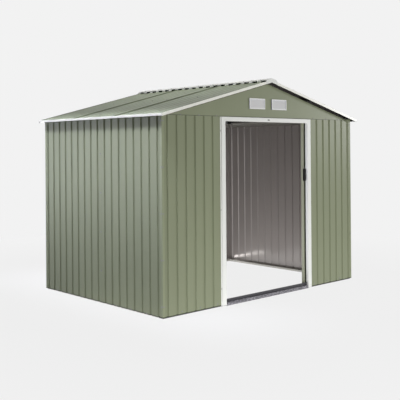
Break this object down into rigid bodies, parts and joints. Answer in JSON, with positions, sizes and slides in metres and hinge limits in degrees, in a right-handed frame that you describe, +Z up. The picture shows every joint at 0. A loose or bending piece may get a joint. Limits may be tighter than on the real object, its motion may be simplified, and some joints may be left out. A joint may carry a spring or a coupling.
{
  "type": "metal storage shed",
  "caption": "Walk-in metal garden shed of grooved green sheet with white trims, a low gable roof, louvred gable vents and sliding doors that stand open.",
  "frame": {"origin": "middle of the plan, at ground level", "axes": "+X to the right as seen from the front, +Y from the front to the back, +Z up"},
  "size_m": [2.7696, 1.9402, 2.086],
  "materials": {
    "green_paint": "satin sage green paint on grooved steel sheet",
    "white_paint": "satin white paint on folded steel",
    "galvanised_steel": "bare galvanised sheet",
    "dark_steel": "dark grey coated channel",
    "black_plastic": "matt black moulding",
    "white_nylon": "natural nylon slide"
  },
  "bodies": {
    "shed": {"corner_strips": "green_paint", "door_header": "white_paint", "door_track": "galvanised_steel", "eave_trims": "white_paint", "front_gable": "green_paint", "front_left_wall": "green_paint", "front_rake_trims": "white_paint", "front_right_wall": "green_paint", "front_sill": "dark_steel", "gable_vents": "white_paint", "left_jamb": "white_paint", "left_roof_front": "green_paint", "left_roof_middle": "green_paint", "left_roof_rear": "green_paint", "left_sill": "galvanised_steel", "left_wall_front": "green_paint", "left_wall_rear": "green_paint", "rear_gable": "green_paint", "rear_rake_trims": "white_paint", "rear_sill": "galvanised_steel", "rear_wall_left": "green_paint", "rear_wall_middle": "green_paint", "rear_wall_right": "green_paint", "ridge_cap": "white_paint", "ridge_ends": "white_paint", "right_jamb": "white_paint", "right_roof_front": "green_paint", "right_roof_middle": "green_paint", "right_roof_rear": "green_paint", "right_sill": "galvanised_steel", "right_wall_front": "green_paint", "right_wall_rear": "green_paint", "roof_beams": "galvanised_steel", "threshold": "galvanised_steel", "top_rails": "galvanised_steel"},
    "left_door": {"left_door_edge": "green_paint", "left_door_handle": "black_plastic", "left_door_hangers": "white_nylon", "left_door_leaf": "green_paint", "left_door_rails": "galvanised_steel"},
    "right_door": {"right_door_edge": "green_paint", "right_door_handle": "black_plastic", "right_door_hangers": "white_nylon", "right_door_leaf": "green_paint", "right_door_rails": "galvanised_steel"}
  },
  "joints": [
    {"name": "left_door_slide", "type": "slide", "parent": "shed", "child": "left_door", "axis": [1, 0, 0], "range_m": [0, 0.568]},
    {"name": "right_door_slide", "type": "slide", "parent": "shed", "child": "right_door", "axis": [-1, 0, 0], "range_m": [0, 0.568]}
  ]
}
